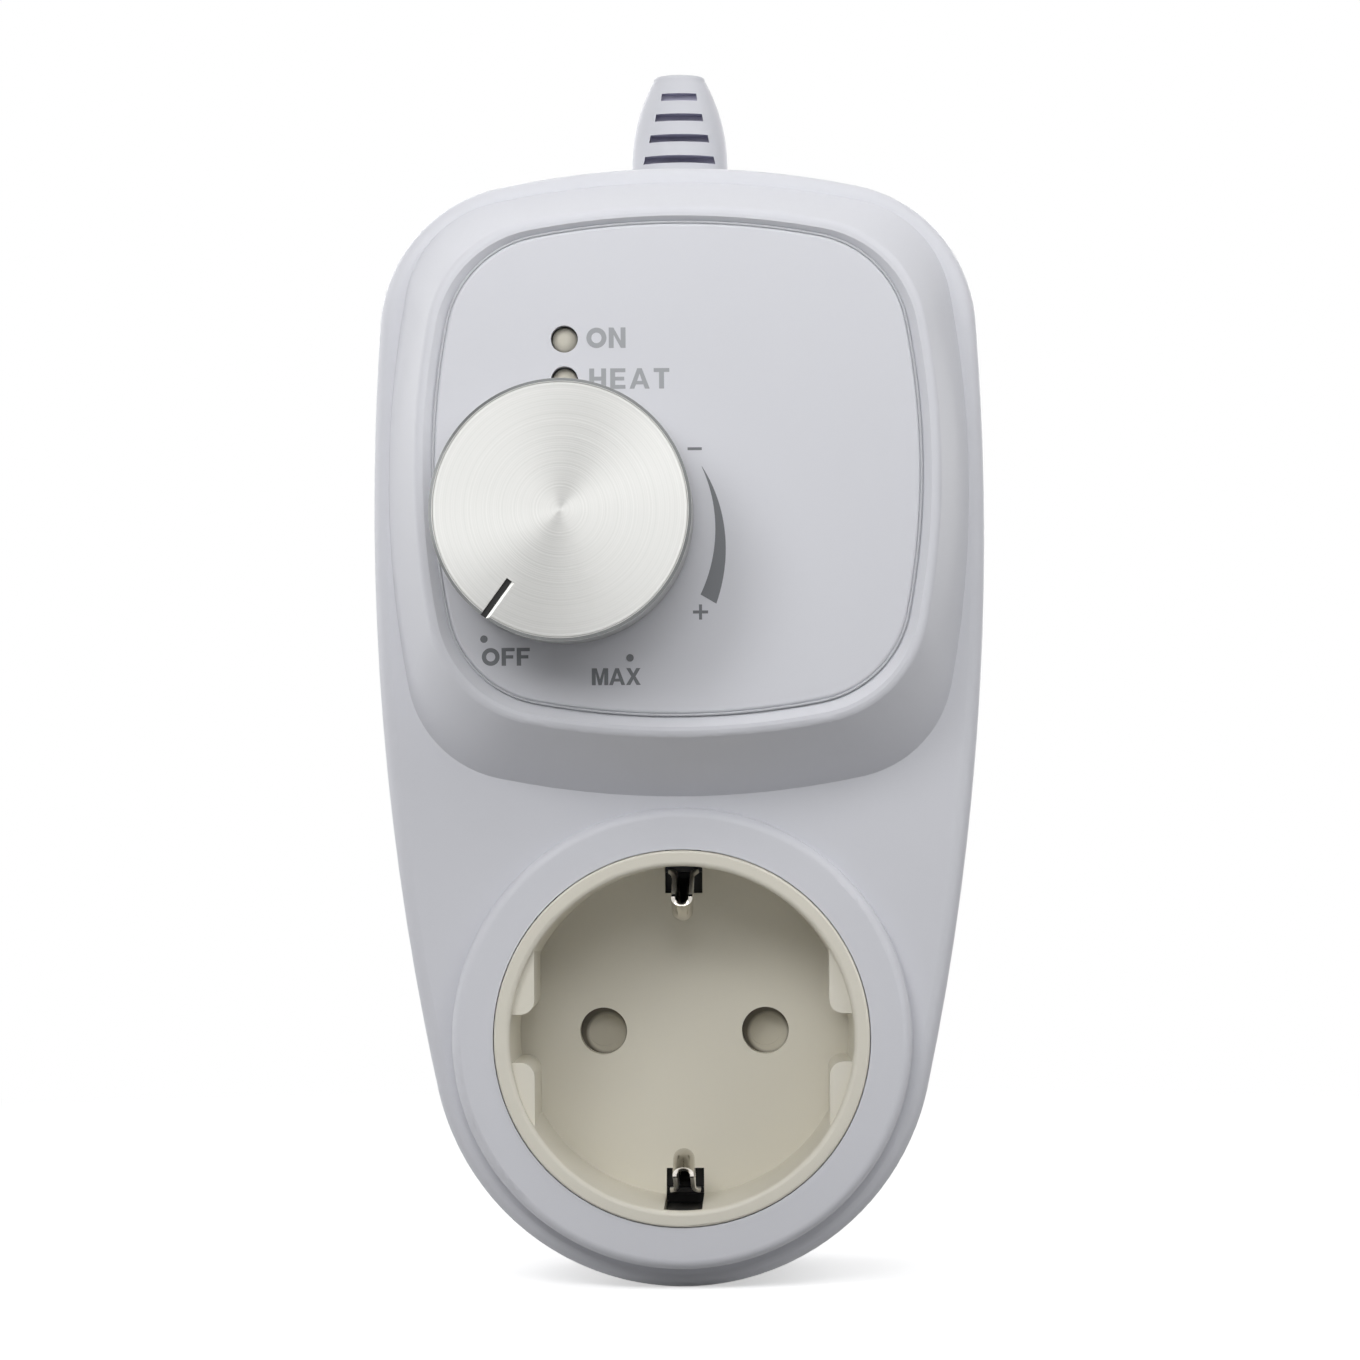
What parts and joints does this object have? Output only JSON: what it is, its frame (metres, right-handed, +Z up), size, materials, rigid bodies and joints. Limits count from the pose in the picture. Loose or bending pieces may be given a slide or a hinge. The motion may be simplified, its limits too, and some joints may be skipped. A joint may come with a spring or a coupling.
{
  "type": "infrared heater dimmer",
  "caption": "Plug-in power control for a heater: an earthed socket below, a raised panel with a turning knob and lamps above, a lead boot on top.",
  "frame": {"origin": "middle of the plug's end face, on the axis that the plug and the socket share", "axes": "the front faces -Y, the plug's pins point along +Y, +Z is up and +X is right seen from the front"},
  "size_m": [0.0698, 0.0965, 0.1413],
  "materials": {
    "white_plastic": "fine satin",
    "panel_plastic": "fine satin",
    "cream_plastic": "satin",
    "black_plastic": "satin",
    "shutter_plastic": "satin",
    "boot_rubber": "soft matt",
    "knob_aluminium": "brushed",
    "nickel": "nickel plated",
    "bare_brass": "stamped",
    "zinc_steel": "zinc plated",
    "pot_metal": "turned",
    "resin": "moulded",
    "tinned_wire": "tinned",
    "lamp_lens": "cloudy",
    "board_laminate": "lacquered",
    "sink_aluminium": "extruded",
    "ferrite": "sintered",
    "copper_wire": "enamelled",
    "yellow_case": "moulded",
    "can_sleeve": "sleeved",
    "fuse_tube": "clear",
    "fuse_metal": "nickel plated",
    "blue_coat": "dipped",
    "resistor_coat": "lacquered",
    "terminal_green": "moulded"
  },
  "bodies": {
    "housing": {"board_screws": "zinc_steel", "bridge_screws": "zinc_steel", "case_screws": "zinc_steel", "choke_core": "ferrite", "choke_winding": "copper_wire", "circuit_board": "board_laminate", "contact_carrier": "black_plastic", "contact_leads": "tinned_wire", "control_chip": "resin", "earth_bridge": "bare_brass", "front_cover": "white_plastic", "front_panel": "panel_plastic", "fuse_caps": "fuse_metal", "fuse_glass": "fuse_tube", "heat_sink": "sink_aluminium", "lamp_leads": "tinned_wire", "lamp_spacer": "black_plastic", "live_contact": "bare_brass", "live_strap": "bare_brass", "neutral_contact": "bare_brass", "neutral_strap": "bare_brass", "plug_earth_bottom": "nickel", "plug_earth_top": "nickel", "plug_face": "white_plastic", "plug_pin_left": "nickel", "plug_pin_right": "nickel", "pot_bush": "bare_brass", "pot_case": "zinc_steel", "pot_nut": "zinc_steel", "pot_terminals": "tinned_wire", "pot_track": "resin", "pot_washer": "zinc_steel", "power_lamp": "lamp_lens", "rear_shell": "white_plastic", "resistors": "resistor_coat", "run_lamp": "lamp_lens", "sensor_terminal": "terminal_green", "shutter_spring": "zinc_steel", "socket_insert": "cream_plastic", "strain_relief_boot": "boot_rubber", "supply_capacitor": "can_sleeve", "suppression_capacitor": "yellow_case", "triac": "resin", "triac_screw": "zinc_steel", "varistor": "blue_coat"},
    "knob": {"knob_shell": "knob_aluminium", "knob_insert": "black_plastic", "pot_shaft": "pot_metal", "pot_wiper": "pot_metal"},
    "shutter": {"shutter_disc": "shutter_plastic"},
    "top_clip": {"earth_clip_top": "nickel"},
    "bottom_clip": {"earth_clip_bottom": "nickel"}
  },
  "joints": [
    {"name": "knob_turn", "type": "hinge", "parent": "housing", "child": "knob", "pos_m": [-0.0126, -0.0712, 0.0592], "axis": [0, 1, 0], "range_deg": [0, 300]},
    {"name": "shutter_turn", "type": "hinge", "parent": "housing", "child": "shutter", "pos_m": [0, -0.03425, 0], "axis": [0, 1, 0], "range_deg": [0, 38], "stiffness_Nm_per_rad": 0.01, "springref_deg": -17.19},
    {"name": "top_clip_flex", "type": "hinge", "parent": "housing", "child": "top_clip", "pos_m": [0, -0.0356, 0.0189], "axis": [-1, 0, 0], "range_deg": [0, 14.5], "stiffness_Nm_per_rad": 0.2},
    {"name": "bottom_clip_flex", "type": "hinge", "parent": "housing", "child": "bottom_clip", "pos_m": [0, -0.0356, -0.0189], "axis": [1, 0, 0], "range_deg": [0, 14.5], "stiffness_Nm_per_rad": 0.2}
  ]
}
